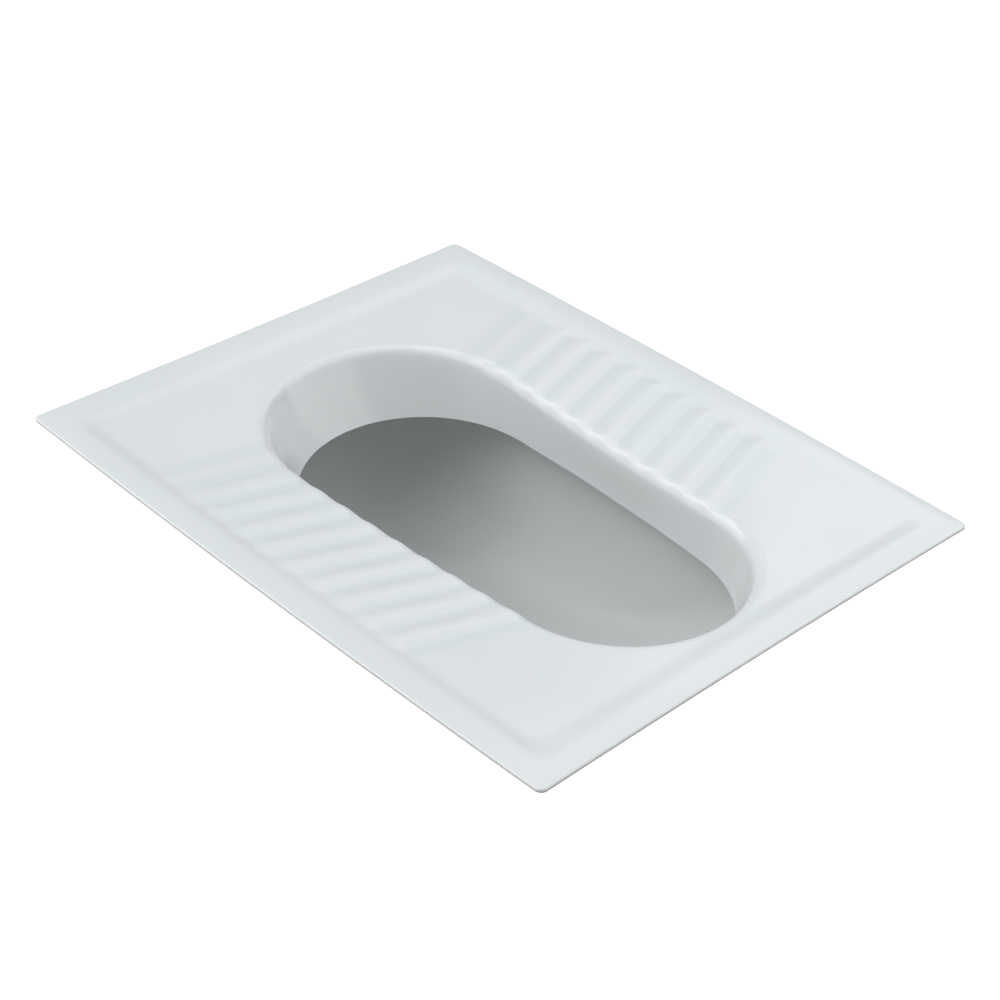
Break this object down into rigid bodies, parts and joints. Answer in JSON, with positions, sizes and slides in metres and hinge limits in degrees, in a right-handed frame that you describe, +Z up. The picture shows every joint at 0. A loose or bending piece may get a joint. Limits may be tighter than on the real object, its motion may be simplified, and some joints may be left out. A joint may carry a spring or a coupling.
{
  "type": "squat toilet",
  "caption": "Flush-set squat pan with a flat recessed deck, slanted foot treads, an egg-shaped bowl under a box flushing rim, rear flush inlet and bottom outlet.",
  "frame": {"origin": "centre of the deck, on the seat plane where the underside of the deck's border rests on the slab", "axes": "+Z up out of the floor, +Y to the rear, the wide end with the outlet and the flush inlet, +X to the right of that"},
  "size_m": [0.477, 0.604, 0.242],
  "materials": {
    "deck_glaze": "glossy bluish-white glaze on vitreous china",
    "rim_glaze": "glossy white glaze inside the flushing rim",
    "bowl_glaze": "glossy grey-white glaze of the bowl",
    "raw_china": "unglazed fired china with a thin wash of glaze",
    "seal_rubber": "matt black rubber"
  },
  "bodies": {
    "root": {"deck": "deck_glaze", "rolled_lip": "deck_glaze", "inner_band": "deck_glaze", "flush_rim": "rim_glaze", "flow_splitter": "rim_glaze", "bowl": "bowl_glaze", "outlet_spigot": "raw_china", "outlet_seal": "seal_rubber", "rear_waterway": "raw_china", "inlet_horn": "raw_china", "inlet_seal": "seal_rubber", "deck_web_left_front": "raw_china", "deck_web_left_rear": "raw_china", "deck_web_right_front": "raw_china", "deck_web_right_rear": "raw_china", "front_foot": "raw_china", "rear_foot_left": "raw_china", "rear_foot_right": "raw_china"}
  },
  "joints": []
}
